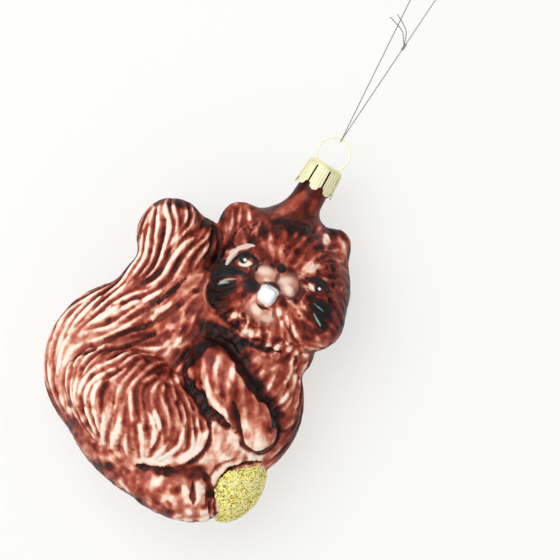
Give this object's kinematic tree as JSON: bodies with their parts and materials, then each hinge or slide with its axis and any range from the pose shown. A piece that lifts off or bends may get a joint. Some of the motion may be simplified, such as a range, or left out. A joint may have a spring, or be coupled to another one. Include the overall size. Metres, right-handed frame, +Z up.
{
  "type": "squirrel ornament",
  "caption": "Hollow blown-glass squirrel that holds an acorn, on a crown cap with a wire ring and a tied thread loop, for hanging.",
  "frame": {"origin": "the inside of the top of the thread loop, where a hook or twig carries the ornament", "axes": "+Z up along the neck's axis, +X the viewer's right, -Y the way the face looks"},
  "size_m": [0.0717, 0.0359, 0.1747],
  "materials": {
    "lacquered_glass": "silvered inside, red-brown lacquer outside, satin gloss",
    "glitter": "gold glitter",
    "cap_metal": "pale gold, pressed, bright",
    "wire_metal": "pale gold plated wire",
    "thread": "thin twisted grey thread"
  },
  "bodies": {
    "thread": {"thread_loop": "thread", "thread_knot": "thread"},
    "hanger": {"hanger_wire": "wire_metal"},
    "cap": {"ornament_cap": "cap_metal"},
    "glass": {"glass_body": "lacquered_glass", "glitter_coat": "glitter"}
  },
  "joints": [
    {"name": "hanger_swing", "type": "hinge", "parent": "thread", "child": "hanger", "pos_m": [0, 0, -0.0665], "axis": [0, 1, 0], "range_deg": [-60, 60]},
    {"name": "hanger_pull", "type": "slide", "parent": "hanger", "child": "cap", "axis": [0, 0, -1], "range_m": [0, 0.0165]},
    {"name": "cap_turn", "type": "hinge", "parent": "cap", "child": "glass", "pos_m": [0, 0, -0.0706], "axis": [0, 0, 1], "continuous": true}
  ]
}
